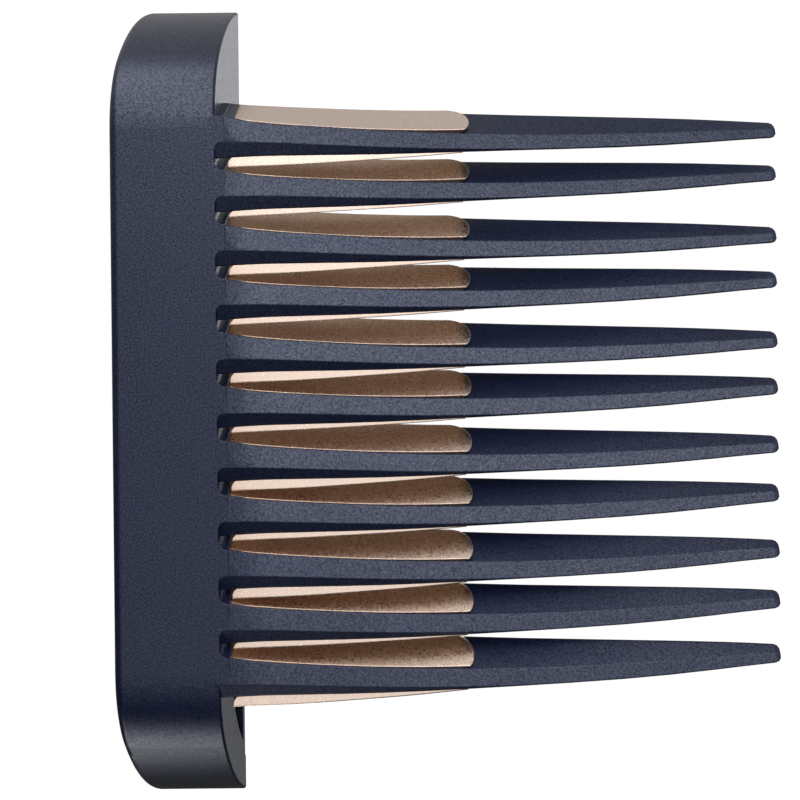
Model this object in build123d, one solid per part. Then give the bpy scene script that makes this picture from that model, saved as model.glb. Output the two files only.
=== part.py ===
from build123d import *
from math import cos, exp, pi, radians, sin, sqrt
import os

# Wide-tooth comb head with metal-faced teeth, for a hot-air styling tool.
# It stands on the mouth of its collar, teeth pointing up.  X runs along the row of
# teeth, Y from the front face to the back, and Z along the teeth.  The origin is
# the centre of the collar's mouth, on the surface that the comb stands on.

# Collar: a short D-shaped duct, flat in front and swept back at both ends.
COLLAR_LENGTH = 10.7
COLLAR_DEPTH = 16.0
HALF_WIDTH = 45.0
FLAT_HALF_WIDTH = 27.3
BEND_RADIUS = 13.0
BEND_ANGLE = 41.0
MOUTH_ROUND = 0.9
RIM_CHAMFER = 0.2
FRONT_WALL = 4.3
END_WALL = 3.8
SOLID_END_X = -30.0
CAVITY_FLAT = 28.5
CAVITY_SHOULDER = (38.2, 6.0)
FLAT_SHRINK = 0.35
SHOULDER_SHRINK = (0.8, 0.6)
LINER_WALL = 1.2
RIB_X = (-16.0, 22.0)
RIB_HEIGHT = 3.2
RIB_RADIUS = 0.45
RIB_LENGTH = 14.0

# Back cover and its screws.
COVER_THICKNESS = 1.2
COVER_HALF_WIDTH = 43.9
COVER_GAP = 0.08
COVER_CORNER = 0.4
SCREW_HEAD = 3.0
SCREW_HEAD_DEPTH = 0.9
SCREW_SHANK = 1.6
SCREW_LENGTH = 3.4
SCREW_RECESS = 0.4
SCREW_CROSS = 1.5
SCREW_CROSS_WIDTH = 0.4
SCREW_EDGE = 2.9
SCREW_X = (-37.5, 42.2)

# Teeth: slanted blades with a narrow front face that leans towards the row's closed end.
TOOTH_COUNT = 11
PITCH = 5.43
TOOTH_LENGTH = 57.5
ROOT_EMBED = 2.0
ROOT_LAP = 0.35
ROOT_SHRINK = 0.7
ROOT_SECTION = 3.0
BLADE_SECTIONS = 8
FRONT_HEIGHT = 1.75
FRONT_TAPER = 0.85
FRONT_TAPER_POWER = 2.5
ROOT_HEIGHT = 0.85
ROOT_BLEND = 0.09
FRONT_TILT = 0.30
TILT_BLEND = 0.05
BLADE_RISE = 2.9
RISE_TAPER = 2.2
RISE_TAPER_POWER = 3
ROOT_DIP = 0.15
ROOT_DIP_POWER = 12
BLADE_DEPTH = 4.0
DEPTH_TAPER = 3.45
BLADE_BACK = 3.2
BACK_TAPER = 2.7
SET_BACK = 3.4
SET_BACK_POWER = 1.6
BOW = 1.2
EVEN_LEAN = 1.2
EVEN_LEAN_FADE = 0.1
BEVEL_DROP = 1.4
BEVEL_DEPTH = 0.55
BEVEL_END = 0.5
EDGE_SOFT = (0.10, 0.16)
HEEL = 0.22
TIP_STEPS = ((0.55, 1.0), (0.2, 0.86), (0.0, 0.55))
WEB_HEIGHT = 0.95
SLOT_CORNER = 0.85
SLOT_OVERRUN = 4.0
SLOT_SINK = 0.03

# Metal plates on both broad sides of every tooth.
PLATE_SECTIONS = 7
PLATE_START = 1.0
END_TOOTH_START = 1.9
PLATE_END = 25.6
PLATE_NOSE = 2.8
PLATE_NOSE_POWER = 2.3
PLATE_NOSE_POINTS = 9
PLATE_OVERLAP = 0.25
PLATE_INSET = 0.55
PLATE_PROUD = 0.42
PLATE_PROUD_POWER = 4
PLATE_FLUSH = 0.03
PLATE_MARGIN = 0.12
EDGE_PLATE_START = 1.2
EDGE_PLATE_END = 24.9
EDGE_PLATE_TAPER = 7.0
EDGE_PLATE_ODD = 0.9
EDGE_PLATE_EVEN = 0.52
EDGE_PLATE_THIN = 0.08
EDGE_PLATE_BACK = 0.9
EDGE_PLATE_BACK_GAP = 0.2
EDGE_PLATE_INSET = 0.12
EDGE_PLATE_CORNER = 0.85
POCKET_CLEARANCE = 0.5
POCKET_OVERRUN = 0.1

FRONT_Y = -COLLAR_DEPTH / 2
BACK_Y = COLLAR_DEPTH / 2


def tooth_x(number):
    return (number - (TOOTH_COUNT + 1) / 2) * PITCH


def blade(number, along):
    """Corner points of a tooth's section, as (x, y), at a distance from the rim."""
    t = max(along, 0.0) / TOOTH_LENGTH
    lean = (EVEN_LEAN - EVEN_LEAN_FADE * number) * t if number % 2 == 0 else 0.0
    middle = tooth_x(number) + BOW * sin(pi * t) - lean
    front = FRONT_HEIGHT - FRONT_TAPER * t ** FRONT_TAPER_POWER + ROOT_HEIGHT * exp(-t / ROOT_BLEND)
    tilt = FRONT_TILT * front * (1 - exp(-t / TILT_BLEND))
    rise = BLADE_RISE * (1 - ROOT_DIP * (1 - t) ** ROOT_DIP_POWER) - RISE_TAPER * t ** RISE_TAPER_POWER
    depth = BLADE_DEPTH - DEPTH_TAPER * t
    face_y = FRONT_Y + SET_BACK * t ** SET_BACK_POWER
    taper = max(1 - t / BEVEL_END, 0.0)
    drop = EDGE_SOFT[0] + BEVEL_DROP * taper
    step = EDGE_SOFT[1] + BEVEL_DEPTH * taper
    back = BLADE_BACK - BACK_TAPER * t
    top_front = (middle - front / 2, face_y + tilt)
    low_front = (middle + front / 2, face_y)
    low_bevel = (middle + front / 2 + drop, face_y + step)
    top_back = (middle - front / 2 - rise, face_y + tilt + depth)
    low_back = (top_back[0] + back, face_y + tilt + depth + HEEL)
    return [top_front, low_front, low_bevel, low_back, top_back]


def loft_sections(sections, ruled=False):
    """Solid through (points, along) sections."""
    wires = []
    for points, along in sections:
        corners = [(x, y, COLLAR_LENGTH + along) for x, y in points]
        wires.append(Wire.make_polygon(corners, close=True))
    return Solid.make_loft(wires, ruled=ruled)


def shift(point, direction, distance):
    return (point[0] + direction[0] * distance, point[1] + direction[1] * distance)


def between(start, end):
    """Unit vector from one section point to another, and its length."""
    dx = end[0] - start[0]
    dy = end[1] - start[1]
    length = sqrt(dx * dx + dy * dy)
    return (dx / length, dy / length), length


def spread(start, end, count):
    return [start + (end - start) * i / (count - 1) for i in range(count)]


def shrink(points, scale):
    """Section scaled about its own middle."""
    middle = [sum(values) / len(points) for values in zip(*points)]
    return [tuple(m + (v - m) * scale for v, m in zip(point, middle)) for point in points]


def make_blade(number):
    """One tooth: a root inside the collar, a smooth blade and a rounded tip."""
    end = TOOTH_LENGTH - TIP_STEPS[0][0]
    rows = [-ROOT_LAP, 0.0, ROOT_SECTION] + spread(0.0, end, BLADE_SECTIONS)[1:]
    tooth = loft_sections([(blade(number, along), along) for along in rows])
    start = blade(number, 0)
    tooth = tooth + loft_sections([(shrink(start, ROOT_SHRINK), -ROOT_EMBED), (start, -ROOT_LAP)], ruled=True)
    tips = []
    for back, scale in TIP_STEPS:
        along = TOOTH_LENGTH - back
        tips.append((shrink(blade(number, along), scale), along))
    return tooth + loft_sections(tips, ruled=True)


def plate_outline(number):
    """Round-nosed outline of a side plate, seen square to the front."""
    nose_start = PLATE_END - PLATE_NOSE
    low = []
    high = []
    rows = spread(0.0, nose_start, 4) + spread(nose_start, PLATE_END, PLATE_NOSE_POINTS)[1:-1]
    for along in rows:
        top_front, _, _, _, top_back = blade(number, along)
        middle = (top_front[0] + top_back[0]) / 2
        half = (top_front[0] - top_back[0]) / 2 + PLATE_OVERLAP
        reach = max(along - nose_start, 0.0) / PLATE_NOSE
        room = half * (1 - reach ** PLATE_NOSE_POWER) ** (1 / PLATE_NOSE_POWER)
        low.append((middle + room, COLLAR_LENGTH + along))
        high.append((middle - room, COLLAR_LENGTH + along))
    top_front, _, _, _, top_back = blade(number, PLATE_END)
    nose = ((top_front[0] + top_back[0]) / 2, COLLAR_LENGTH + PLATE_END)
    path = [Vector(x, 2 * FRONT_Y, z) for x, z in low + [nose] + high[::-1]]
    curve = Edge.make_spline(path)
    closing = Edge.make_line(path[-1], path[0])
    return extrude(Face(Wire([curve, closing])), 2 * COLLAR_DEPTH, dir=(0, 1, 0))


def make_side_plate(number, extra=0.0):
    """Plate on a tooth's slanted broad face, let into it and slightly proud.

    A pocket cutter is the same plate with extra thickness outwards."""
    sections = []
    begin = END_TOOTH_START if number == 1 else PLATE_START
    for along in spread(begin, PLATE_END + 1, PLATE_SECTIONS):
        top_front, _, _, _, top_back = blade(number, along)
        run, length = between(top_front, top_back)
        out = (-run[1], run[0])
        if out[1] > 0:
            out = (run[1], -run[0])
        start = shift(top_front, run, PLATE_MARGIN)
        end = shift(top_back, run, POCKET_OVERRUN if extra else 0.0)
        proud = PLATE_FLUSH + PLATE_PROUD * (along / PLATE_END) ** PLATE_PROUD_POWER + extra
        corners = [
            shift(start, out, proud),
            shift(start, out, -PLATE_INSET),
            shift(end, out, -PLATE_INSET),
            shift(end, out, proud),
        ]
        sections.append((corners, along))
    return loft_sections(sections) & plate_outline(number)


def make_edge_plate(number, extra=0.0):
    """Wedge-shaped plate on a tooth's other broad face, thinning to nothing."""
    full = EDGE_PLATE_EVEN if number % 2 == 0 else EDGE_PLATE_ODD
    sections = []
    for along in spread(EDGE_PLATE_START, EDGE_PLATE_END, PLATE_SECTIONS):
        _, _, low_bevel, low_back, _ = blade(number, along)
        left = min((EDGE_PLATE_END - along) / (EDGE_PLATE_END - EDGE_PLATE_TAPER), 1.0)
        thick = EDGE_PLATE_THIN + full * left + extra
        corners = [
            (low_bevel[0] - EDGE_PLATE_INSET, low_bevel[1]),
            (low_bevel[0] + thick, low_bevel[1]),
            (low_back[0] + thick * EDGE_PLATE_BACK, low_back[1] - EDGE_PLATE_BACK_GAP),
            (low_back[0] - EDGE_PLATE_INSET, low_back[1] - EDGE_PLATE_BACK_GAP),
        ]
        sections.append((corners, along))
    return loft_sections(sections)


def round_corner(number):
    """Cutter that rounds the front corner of an edge plate where it starts, above the collar."""
    _, _, low_bevel, _, _ = blade(number, EDGE_PLATE_START)
    size = EDGE_PLATE_CORNER
    corner = (low_bevel[0] - EDGE_PLATE_INSET, low_bevel[1] - size, COLLAR_LENGTH + EDGE_PLATE_START)
    block = Pos(*corner) * Box(size, 3 * size, size, align=(Align.MIN, Align.MIN, Align.MIN))
    centre = (corner[0] + size, low_bevel[1], corner[2] + size)
    return block - Pos(*centre) * Rot(90, 0, 0) * Cylinder(size, BLADE_DEPTH)


def bend_point(side, turn):
    """Point on the tight bend between the flat front and a swept end, after a turn in degrees."""
    across = FLAT_HALF_WIDTH + BEND_RADIUS * sin(radians(turn))
    return (side * across, FRONT_Y + BEND_RADIUS * (1 - cos(radians(turn))))


def collar_profile():
    """D outline: a flat front, a tight bend at each side, then a slow curve to the back."""
    parts = [
        Line(bend_point(-1, 0), bend_point(1, 0)),
        Line((-HALF_WIDTH, BACK_Y), (HALF_WIDTH, BACK_Y)),
    ]
    for side in (-1, 1):
        bend_end = bend_point(side, BEND_ANGLE)
        leave = (side * cos(radians(BEND_ANGLE)), sin(radians(BEND_ANGLE)))
        parts.append(ThreePointArc(bend_point(side, 0), bend_point(side, BEND_ANGLE / 2), bend_end))
        parts.append(TangentArc(bend_end, (side * HALF_WIDTH, BACK_Y), tangent=leave))
    return make_face(parts)


def cavity_profile(margin):
    """Outline of the duct, offset inwards by a margin."""
    front = FRONT_WALL + margin
    end = END_WALL + margin
    flat = CAVITY_FLAT - end * FLAT_SHRINK
    shoulder_x = CAVITY_SHOULDER[0] - end * SHOULDER_SHRINK[0]
    shoulder_y = FRONT_Y + CAVITY_SHOULDER[1] + front * SHOULDER_SHRINK[1]
    parts = [
        Line((-flat, FRONT_Y + front), (flat, FRONT_Y + front)),
        Line((end - HALF_WIDTH, BACK_Y), (HALF_WIDTH - end, BACK_Y)),
    ]
    for side in (-1, 1):
        start = (side * flat, FRONT_Y + front)
        finish = (side * (HALF_WIDTH - end), BACK_Y)
        parts.append(ThreePointArc(start, (side * shoulder_x, shoulder_y), finish))
    return make_face(parts)


def make_collar():
    outer = extrude(collar_profile(), COLLAR_LENGTH)
    swept = [e for e in outer.edges() if e.center().Y < BACK_Y - RIM_CHAMFER]
    mouth = [e for e in swept if e.center().Z < RIM_CHAMFER / 2]
    outer = fillet(mouth, MOUTH_ROUND)
    swept = [e for e in outer.edges() if e.center().Y < BACK_Y - RIM_CHAMFER]
    rim = [e for e in swept if e.center().Z > COLLAR_LENGTH - RIM_CHAMFER / 2]
    ends = [e for e in rim if abs(e.center().X) > FLAT_HALF_WIDTH / 2]
    return chamfer(ends, RIM_CHAMFER)


def cavity(extra):
    """Duct through the collar, open at the back, closed short of one end."""
    inside = extrude(cavity_profile(extra), COLLAR_LENGTH)
    start = SOLID_END_X + extra
    keep = Pos(start, -COLLAR_DEPTH, 0) * Box(
        2 * HALF_WIDTH, 2 * COLLAR_DEPTH, COLLAR_LENGTH, align=(Align.MIN, Align.MIN, Align.MIN)
    )
    return inside & keep


def root_webs():
    """Strip at the rim that rounds the inner corners of the slots between teeth."""
    first = blade(1, 0)
    last = blade(TOOTH_COUNT, 0)
    strip_points = [first[0], last[1], last[2], last[3], first[4]]
    strip = loft_sections([(strip_points, -WEB_HEIGHT / 2), (strip_points, WEB_HEIGHT)])
    slope = between(first[0], first[4])[0]
    start = FRONT_Y - 1
    back_off = -slope[0] / slope[1]
    high = SLOT_OVERRUN
    for number in range(1, TOOTH_COUNT):
        left = blade(number, 0)[1][0]
        right = blade(number + 1, 0)[0][0]
        middle = Pos((left + right) / 2, COLLAR_LENGTH - SLOT_SINK + high / 2)
        slot = middle * RectangleRounded(right - left, high, SLOT_CORNER)
        plane = Plane(origin=(back_off, start, 0), x_dir=(1, 0, 0), z_dir=(0, -1, 0))
        strip = strip - extrude(plane * slot, BLADE_DEPTH + SLOT_OVERRUN, dir=(slope[0], slope[1], 0))
    return strip


def screw_places():
    return [(x, z) for x in SCREW_X for z in (SCREW_EDGE, COLLAR_LENGTH - SCREW_EDGE)]


def screw_blank():
    """Countersunk screw along Y without its cross recess, head flush with the origin."""
    top = (Align.CENTER, Align.CENTER, Align.MAX)
    head = Cone(SCREW_SHANK / 2, SCREW_HEAD / 2, SCREW_HEAD_DEPTH, align=top)
    shank = Cylinder(SCREW_SHANK / 2, SCREW_LENGTH, align=top)
    return Rot(-90, 0, 0) * (head + shank)


def cross_recess():
    top = (Align.CENTER, Align.MAX, Align.CENTER)
    bar = Box(SCREW_CROSS, SCREW_RECESS, SCREW_CROSS_WIDTH, align=top)
    return bar + Rot(0, 90, 0) * bar


def make_cover():
    size_z = COLLAR_LENGTH - 2 * COVER_GAP
    cover = Pos(0, BACK_Y, COVER_GAP) * Box(
        2 * COVER_HALF_WIDTH, COVER_THICKNESS, size_z, align=(Align.CENTER, Align.MAX, Align.MIN)
    )
    corners = cover.edges().filter_by(Axis.Z).group_by(Axis.Y)[-1]
    return fillet(corners, COVER_CORNER)


def make_liner():
    """U-shaped sleeve inside the duct, with two ribs that grip the tool's nozzle."""
    inner = cavity(LINER_WALL)
    outer = cavity(0)
    stop = Pos(0, BACK_Y - COVER_THICKNESS, 0) * Box(
        4 * HALF_WIDTH, COLLAR_DEPTH, COLLAR_LENGTH, align=(Align.CENTER, Align.MAX, Align.MIN)
    )
    liner = (outer - inner) & stop
    front = FRONT_Y + FRONT_WALL + LINER_WALL
    for x in RIB_X:
        rib = Pos(x, front, RIB_HEIGHT) * Rot(0, 90, 0) * Cylinder(RIB_RADIUS, RIB_LENGTH)
        liner = liner + rib
    return liner


def write(name, *shapes):
    solids = [solid for shape in shapes for solid in shape.solids()]
    whole = solids[0] if len(solids) == 1 else Compound(children=solids)
    export_step(whole, f"parts/{name}.step")
    print(name, len(solids), round(sum(solid.volume for solid in solids), 2))


def main():
    os.makedirs("parts", exist_ok=True)
    teeth = []
    for number in range(1, TOOTH_COUNT + 1):
        pocket = make_side_plate(number, POCKET_CLEARANCE)
        ledge = make_edge_plate(number, POCKET_CLEARANCE)
        teeth.append(make_blade(number) - pocket - ledge)
        write(f"side_plate_{number:02d}", make_side_plate(number))
        write(f"edge_plate_{number:02d}", make_edge_plate(number) - round_corner(number))
    frame = make_collar() - cavity(0) + [root_webs()] + teeth
    cover = make_cover()
    frame = frame - cover
    screws = []
    for x, z in screw_places():
        blank = Pos(x, BACK_Y, z) * screw_blank()
        cover = cover - blank
        frame = frame - blank
        screws.append(blank - Pos(x, BACK_Y, z) * cross_recess())
    write("comb_frame", frame)
    write("back_cover", cover)
    write("duct_liner", make_liner())
    write("cover_screws", *screws)


main()
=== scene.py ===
"""Wide-tooth comb head: materials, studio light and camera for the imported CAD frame.

Metres. The comb stands on its collar's mouth with its teeth up (+Z) and its front
towards -Y, and the row of teeth runs along X."""
import math

import bpy
from mathutils import Matrix, Vector


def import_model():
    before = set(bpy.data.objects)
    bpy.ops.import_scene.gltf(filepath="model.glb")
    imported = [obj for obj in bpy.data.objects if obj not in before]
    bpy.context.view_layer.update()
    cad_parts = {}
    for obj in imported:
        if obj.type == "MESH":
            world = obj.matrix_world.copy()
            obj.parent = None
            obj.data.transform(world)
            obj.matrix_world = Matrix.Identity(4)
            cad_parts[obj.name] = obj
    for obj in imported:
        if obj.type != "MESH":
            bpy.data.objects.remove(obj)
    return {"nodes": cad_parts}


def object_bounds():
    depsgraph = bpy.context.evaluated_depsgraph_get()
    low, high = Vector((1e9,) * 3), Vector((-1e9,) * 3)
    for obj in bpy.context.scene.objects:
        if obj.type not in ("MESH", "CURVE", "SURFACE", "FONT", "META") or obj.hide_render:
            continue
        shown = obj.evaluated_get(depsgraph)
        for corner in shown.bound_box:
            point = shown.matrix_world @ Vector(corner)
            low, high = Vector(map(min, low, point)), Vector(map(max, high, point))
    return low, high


MM = 0.001

# Navy moulding. Colours are linear.
NAVY_DARK = (0.0030, 0.0060, 0.026)
NAVY_LIGHT = (0.0075, 0.0130, 0.040)
NAVY_SHEEN = (0.76, 0.82, 1.0)
NAVY_ROUGHNESS = (0.30, 0.37)
NAVY_SPECULAR = (0.24, 0.80)
NAVY_CLOUD = 9 * MM
NAVY_SPECK = 0.16 * MM
NAVY_SPARKLE = 0.20 * MM
NAVY_PATCH = 0.5 * MM
NAVY_GRAIN = 0.17 * MM
NAVY_GRAIN_HEIGHT = 0.022 * MM
NAVY_EDGE = 0.16 * MM
# The liner's navy is scaled darker: painted shade inside the duct.
LINER_PAINTED_SHADE = 0.6
COVER_TONE = 0.95

# Bronze plates
BRONZE_OPEN = (0.81, 0.65, 0.56)
# Darker, browner bronze mixed in by ambient occlusion between the teeth: painted shade.
BRONZE_PAINTED_SHADE = (0.57, 0.40, 0.29)
BRONZE_FLECK = (0.97, 0.90, 0.82)
BRONZE_ROUGHNESS = (0.24, 0.36)
FLECK_SIZE = 0.13 * MM
FLECK_SHARE = 0.9
SHADE_REACH = 4 * MM
SHADE_RANGE = (0.99, 0.78)
BRONZE_PATCH = 0.3 * MM
BRONZE_GRAIN = 0.12 * MM
BRONZE_GRAIN_HEIGHT = 0.005 * MM
BRONZE_EDGE = 0.15 * MM

# Screw heads
STEEL_DARK = (0.16, 0.16, 0.17)
STEEL_LIGHT = (0.24, 0.24, 0.25)
STEEL_ROUGHNESS = (0.30, 0.48)
STEEL_STAIN = 0.4 * MM
STEEL_PATCH = 0.3 * MM
STEEL_GRAIN = 0.15 * MM
STEEL_GRAIN_HEIGHT = 0.006 * MM
STEEL_EDGE = 0.05 * MM

# The part of a noise texture's output that a ramp spreads over its whole range
SOFT = (0.3, 0.7)

# Studio sweep
FLOOR_HALF = 6.0
SWEEP_START = 3.0
SWEEP_RADIUS = 1.5
SWEEP_STEPS = 16
FLOOR_TONE = 0.3
FLOOR_GLOW = 0.95

# Surround: its strength on the +X and -X sides, and where along X it changes
WORLD_DIM = 0.07
WORLD_LEFT = 0.54
WORLD_FADE = (0.3, -0.7)

# Softboxes: azimuths and elevations in degrees as seen from the comb, and radiance
LIGHT_DISTANCE = 0.9
LIGHT_TARGET = 30 * MM
SOFTBOXES = {
    "front_softbox": ((-20, 35), (-25, 42), 1.03),
    "left_softbox": ((-50, -22), (-25, 35), 3.4),
    "left_strip": ((-82, -52), (-34, -6), 3.4),
    "right_strip": ((76, 104), (-34, -4), 3.2),
    "top_softbox": ((-178, -146), (15, 34), 3.3),
    "back_softbox": ((148, 176), (16, 34), 1.0),
}

# Camera: in front of the comb, with the teeth pointing right
LENS = 45.0
SENSOR = 36.0
CAMERA_DISTANCE = 100 * MM
CAMERA_HEIGHT = 29 * MM
CAMERA_SIDE = 0.15 * MM
CAMERA_ROLL = 0.6
CLIP_NEAR = 0.01
CLIP_FAR = 50

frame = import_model()
cad_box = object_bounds()


# ---------------------------------------------------------------- node helpers
class Shader:
    """A material's node tree, with short calls for the nodes used here."""

    def __init__(self, name):
        self.material = bpy.data.materials.new(name)
        self.material.use_nodes = True
        self.tree = self.material.node_tree
        self.tree.nodes.clear()
        output = self.node("ShaderNodeOutputMaterial")
        self.surface = self.node("ShaderNodeBsdfPrincipled")
        self.link(self.surface.outputs["BSDF"], output.inputs["Surface"])
        self.place = self.node("ShaderNodeTexCoord").outputs["Object"]

    def node(self, kind, **values):
        made = self.tree.nodes.new(kind)
        for key, value in values.items():
            setattr(made, key, value)
        return made

    def link(self, source, target):
        self.tree.links.new(source, target)

    def fill(self, target, value):
        """Links an output to a socket, or sets the socket to a number or a colour."""
        if hasattr(value, "is_output"):
            self.link(value, target)
        elif isinstance(value, tuple):
            target.default_value = (*value, 1.0)
        else:
            target.default_value = value

    def put(self, name, value):
        self.fill(self.surface.inputs[name], value)

    def noise(self, size, roughness=0.5):
        """Noise between 0 and 1 with features of a size in metres."""
        made = self.node("ShaderNodeTexNoise")
        made.inputs["Scale"].default_value = 1.0 / size
        made.inputs["Detail"].default_value = 2.0
        made.inputs["Roughness"].default_value = roughness
        self.link(self.place, made.inputs["Vector"])
        return made.outputs["Fac"]

    def cells(self, size):
        """A random value in each cell of a size in metres."""
        made = self.node("ShaderNodeTexVoronoi")
        made.inputs["Scale"].default_value = 1.0 / size
        self.link(self.place, made.inputs["Vector"])
        return made.outputs["Color"]

    def openness(self, reach):
        """1 where nothing stands within a distance in metres, less where other surfaces stand
        close; used for painted shade.
        """
        made = self.node("ShaderNodeAmbientOcclusion", samples=8)
        made.inputs["Distance"].default_value = reach
        return made.outputs["AO"]

    def ramp(self, source, reads, gives=(0.0, 1.0)):
        """Maps a range of the source's values to another range."""
        made = self.node("ShaderNodeMapRange")
        for key, value in zip(("From Min", "From Max", "To Min", "To Max"), reads + gives):
            made.inputs[key].default_value = value
        self.link(source, made.inputs["Value"])
        return made.outputs["Result"]

    def times(self, first, second):
        made = self.node("ShaderNodeMath", operation="MULTIPLY")
        self.fill(made.inputs[0], first)
        self.fill(made.inputs[1], second)
        return made.outputs["Value"]

    def mix(self, factor, first, second):
        """A colour between two others."""
        made = self.node("ShaderNodeMix", data_type="RGBA")
        self.link(factor, made.inputs["Factor"])
        for key, value in (("A", first), ("B", second)):
            self.fill(next(s for s in made.inputs if s.name == key and s.type == "RGBA"), value)
        return next(s for s in made.outputs if s.type == "RGBA")

    def bump(self, height, distance, edge):
        """Surface grain of a height in metres, on edges rounded to a radius."""
        made = self.node("ShaderNodeBump")
        made.inputs["Strength"].default_value = 1.0
        made.inputs["Distance"].default_value = distance
        self.link(height, made.inputs["Height"])
        rounded = self.node("ShaderNodeBevel", samples=6)
        rounded.inputs["Radius"].default_value = edge
        self.link(rounded.outputs["Normal"], made.inputs["Normal"])
        self.link(made.outputs["Normal"], self.surface.inputs["Normal"])


# ------------------------------------------------------------------- materials
def navy_plastic(name, tone_and_painted_shade=1.0):
    """Matte navy moulding with a fine spark-eroded grain; tone_and_painted_shade scales its
    colours, which darkens the duct liner as painted shade.
    """
    s = Shader(name)
    dark, light = (tuple(c * tone_and_painted_shade for c in colour) for colour in (NAVY_DARK, NAVY_LIGHT))
    speck = s.ramp(s.noise(NAVY_SPECK, 0.6), (0.42, 0.66))
    cloud = s.ramp(s.noise(NAVY_CLOUD), SOFT)
    s.put("Base Color", s.mix(s.times(cloud, speck), dark, light))
    s.put("Roughness", s.ramp(s.noise(NAVY_PATCH), SOFT, NAVY_ROUGHNESS))
    s.put("Specular IOR Level", s.ramp(s.noise(NAVY_SPARKLE, 0.7), (0.34, 0.66), NAVY_SPECULAR))
    s.put("Specular Tint", NAVY_SHEEN)
    s.bump(s.noise(NAVY_GRAIN, 0.6), NAVY_GRAIN_HEIGHT, NAVY_EDGE)
    return s.material


def bronze_plate(name):
    """Bronze-anodised metal with a fine sparkle, and painted shade that makes it darker and
    browner deep between the teeth.
    """
    s = Shader(name)
    fleck = s.ramp(s.cells(FLECK_SIZE), (0.80, 1.0))
    # Painted shade: ambient occlusion mixes in the darker brown deep between the teeth.
    painted_shade = s.ramp(s.openness(SHADE_REACH), SHADE_RANGE)
    tint = s.mix(painted_shade, BRONZE_OPEN, BRONZE_PAINTED_SHADE)
    s.put("Base Color", s.mix(s.times(fleck, FLECK_SHARE), tint, BRONZE_FLECK))
    s.put("Metallic", 1.0)
    s.put("Roughness", s.ramp(s.noise(BRONZE_PATCH), SOFT, BRONZE_ROUGHNESS))
    s.bump(s.noise(BRONZE_GRAIN, 0.7), BRONZE_GRAIN_HEIGHT, BRONZE_EDGE)
    return s.material


def dark_screw(name):
    """Blackened steel, a little uneven in colour and gloss."""
    s = Shader(name)
    s.put("Base Color", s.mix(s.ramp(s.noise(STEEL_STAIN), SOFT), STEEL_DARK, STEEL_LIGHT))
    s.put("Metallic", 1.0)
    s.put("Roughness", s.ramp(s.noise(STEEL_PATCH), SOFT, STEEL_ROUGHNESS))
    s.bump(s.noise(STEEL_GRAIN), STEEL_GRAIN_HEIGHT, STEEL_EDGE)
    return s.material


def paint(node, material):
    """Gives a piece one material all over."""
    obj = frame["nodes"][node]
    obj.data.materials.clear()
    obj.data.materials.append(material)
    for polygon in obj.data.polygons:
        polygon.material_index = 0


paint("comb_frame", navy_plastic("navy_moulding"))
# The liner gets the darker navy: painted shade inside the duct.
paint("duct_liner", navy_plastic("navy_liner", LINER_PAINTED_SHADE))
paint("back_cover", navy_plastic("navy_cover", COVER_TONE))
bronze = bronze_plate("bronze_plate")
for node in frame["nodes"]:
    if "plate" in node:
        paint(node, bronze)
paint("cover_screws", dark_screw("screw_steel"))


# ---------------------------------------------------------- floor, light, camera
def floor():
    """Pale studio sweep: a floor that curves up far behind the comb."""
    ground = cad_box[0][2]
    profile = [(-FLOOR_HALF, ground)]
    for i in range(SWEEP_STEPS + 1):
        a = i / SWEEP_STEPS * math.pi / 2
        profile.append((SWEEP_START + SWEEP_RADIUS * math.sin(a),
                        ground + SWEEP_RADIUS * (1 - math.cos(a))))
    profile.append((SWEEP_START + SWEEP_RADIUS, ground + FLOOR_HALF))
    verts = [(x, y, z) for y, z in profile for x in (-FLOOR_HALF, FLOOR_HALF)]
    faces = [(2 * i, 2 * i + 1, 2 * i + 3, 2 * i + 2) for i in range(len(profile) - 1)]
    mesh = bpy.data.meshes.new("studio_floor")
    mesh.from_pydata(verts, [], faces)
    mesh.polygons.foreach_set("use_smooth", [True] * len(mesh.polygons))
    obj = bpy.data.objects.new("studio_floor", mesh)
    bpy.context.scene.collection.objects.link(obj)
    obj.visible_glossy = False
    obj.visible_diffuse = False
    s = Shader("studio_white")
    s.put("Base Color", (FLOOR_TONE, FLOOR_TONE, FLOOR_TONE))
    s.put("Roughness", 1.0)
    s.put("Specular IOR Level", 0.0)
    s.put("Emission Color", (1.0, 1.0, 1.0))
    s.put("Emission Strength", FLOOR_GLOW)
    mesh.materials.append(s.material)


def softbox(name, azimuths, elevations, radiance):
    """Soft light that fills a range of directions seen from the comb.

    Azimuth turns from the comb's front towards +X, and elevation is the height above
    level."""
    turn, lift = (math.radians(sum(pair) / 2) for pair in (azimuths, elevations))
    way = Vector((math.sin(turn) * math.cos(lift),
                  -math.cos(turn) * math.cos(lift),
                  math.sin(lift)))
    wide, high = (2 * LIGHT_DISTANCE * math.tan(math.radians(pair[1] - pair[0]) / 2)
                  for pair in (azimuths, elevations))
    data = bpy.data.lights.new(name, "AREA")
    data.shape = "RECTANGLE"
    data.size, data.size_y = wide, high
    data.energy = radiance * math.pi * wide * high
    obj = bpy.data.objects.new(name, data)
    bpy.context.scene.collection.objects.link(obj)
    obj.location = Vector((0, 0, LIGHT_TARGET)) + way * LIGHT_DISTANCE
    obj.rotation_euler = way.to_track_quat("Z", "Y").to_euler()
    obj.visible_camera = False


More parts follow.
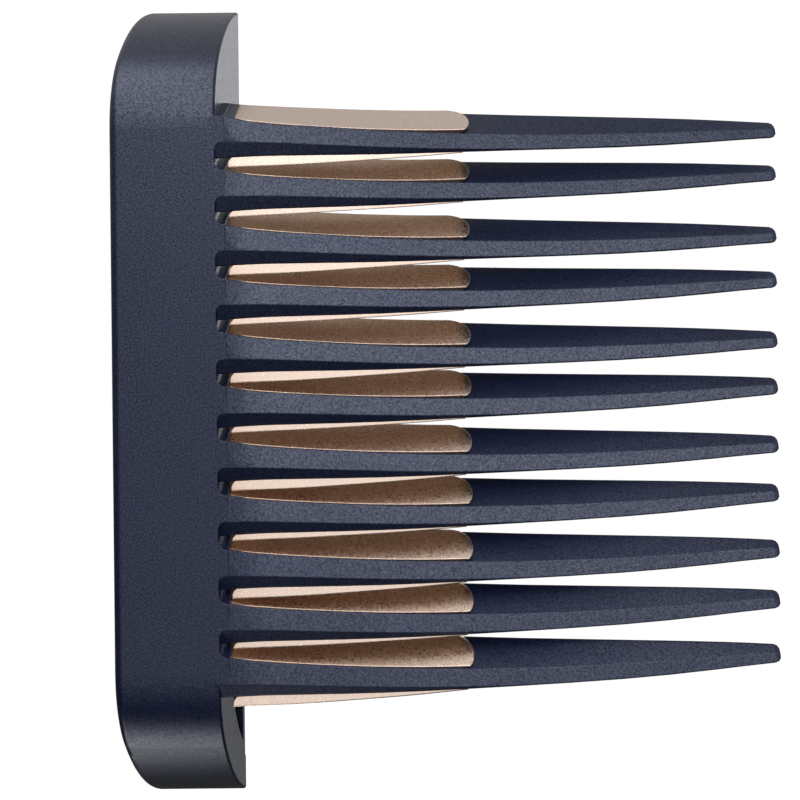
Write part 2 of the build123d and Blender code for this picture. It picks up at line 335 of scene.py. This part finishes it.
def world():
    """Dim studio surround, brighter on the -X side, and white to the camera."""
    scene_world = bpy.data.worlds.new("studio")
    scene_world.use_nodes = True
    tree = scene_world.node_tree
    background = tree.nodes["Background"]
    place = tree.nodes.new("ShaderNodeTexCoord")
    split = tree.nodes.new("ShaderNodeSeparateXYZ")
    tree.links.new(place.outputs["Generated"], split.inputs["Vector"])
    fade = tree.nodes.new("ShaderNodeMapRange")
    fade.interpolation_type = "SMOOTHSTEP"
    for key, value in zip(("From Min", "From Max", "To Min", "To Max"),
                          WORLD_FADE + (WORLD_DIM, WORLD_LEFT)):
        fade.inputs[key].default_value = value
    tree.links.new(split.outputs["X"], fade.inputs["Value"])
    path = tree.nodes.new("ShaderNodeLightPath")
    white = tree.nodes.new("ShaderNodeMath")
    white.operation = "MAXIMUM"
    tree.links.new(path.outputs["Is Camera Ray"], white.inputs[0])
    tree.links.new(fade.outputs["Result"], white.inputs[1])
    tree.links.new(white.outputs["Value"], background.inputs["Strength"])
    background.inputs["Color"].default_value = (1, 1, 1, 1)
    bpy.context.scene.world = scene_world


def camera():
    """Square to the comb's front, turned on its side so that the teeth point right."""
    roll = math.radians(CAMERA_ROLL)
    data = bpy.data.cameras.new("camera")
    data.lens = LENS
    data.sensor_width = SENSOR
    data.clip_start = CLIP_NEAR
    data.clip_end = CLIP_FAR
    obj = bpy.data.objects.new("camera", data)
    bpy.context.scene.collection.objects.link(obj)
    low, high = (Vector(corner) for corner in cad_box)
    right = Vector((math.sin(roll), 0, math.cos(roll)))
    back = Vector((0, -1, 0))
    up = back.cross(right)
    turn = Matrix((right, up, back)).transposed().to_4x4()
    place = Vector(((low.x + high.x) / 2 + CAMERA_SIDE,
                    low.y - CAMERA_DISTANCE,
                    low.z + CAMERA_HEIGHT))
    obj.matrix_world = Matrix.Translation(place) @ turn
    bpy.context.scene.camera = obj


floor()
world()
for light, (azimuths, elevations, radiance) in SOFTBOXES.items():
    softbox(light, azimuths, elevations, radiance)
camera()
bpy.context.scene.view_settings.view_transform = "Standard"
